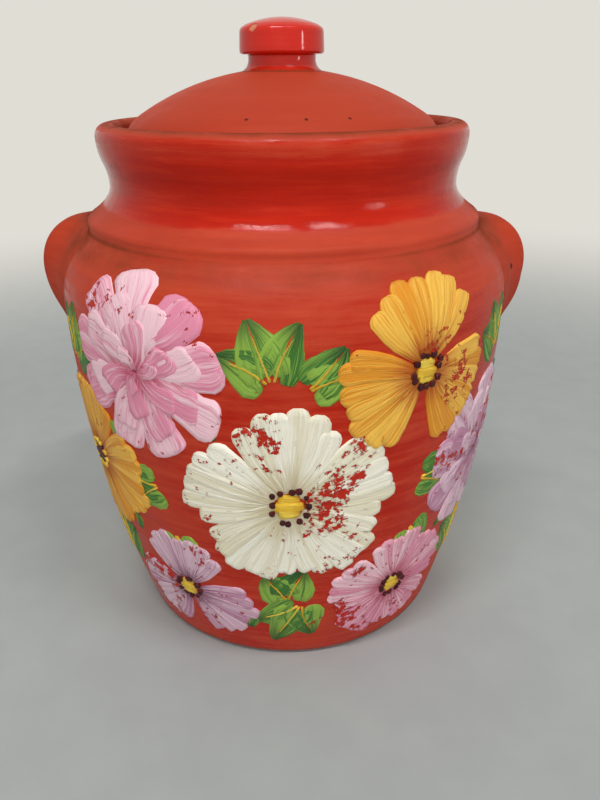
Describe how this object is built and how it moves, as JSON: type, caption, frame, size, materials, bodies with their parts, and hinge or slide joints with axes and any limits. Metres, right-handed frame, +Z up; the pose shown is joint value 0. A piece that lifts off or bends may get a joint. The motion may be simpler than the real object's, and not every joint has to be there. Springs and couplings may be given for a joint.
{
  "type": "lidded jar",
  "caption": "Round lidded stoneware jar with a flared neck, lug handles on its sides and a domed lid that drops into a gallery in the rim and lifts off by its knob.",
  "frame": {"origin": "on the jar's axis, at the plane the foot ring stands on", "axes": "+Z up along the jar's axis, lug handles along -X and +X, painted front towards -Y"},
  "size_m": [0.208, 0.1874, 0.2482],
  "materials": {
    "painted_stoneware": "satin red paint over stoneware, with raised brush-painted flowers and worn edges",
    "painted_lid": "matte red paint over stoneware, rubbed",
    "painted_knob": "glossy red, chipped at one edge"
  },
  "bodies": {
    "jar": {"jar_body": "painted_stoneware", "left_lug": "painted_stoneware", "right_lug": "painted_stoneware", "painted_flowers": "painted_stoneware"},
    "lid": {"lid": "painted_lid", "lid_knob": "painted_knob"}
  },
  "joints": [
    {"name": "lid_lift", "type": "slide", "parent": "jar", "child": "lid", "axis": [0, 0, 1], "range_m": [0, 0.15]}
  ]
}
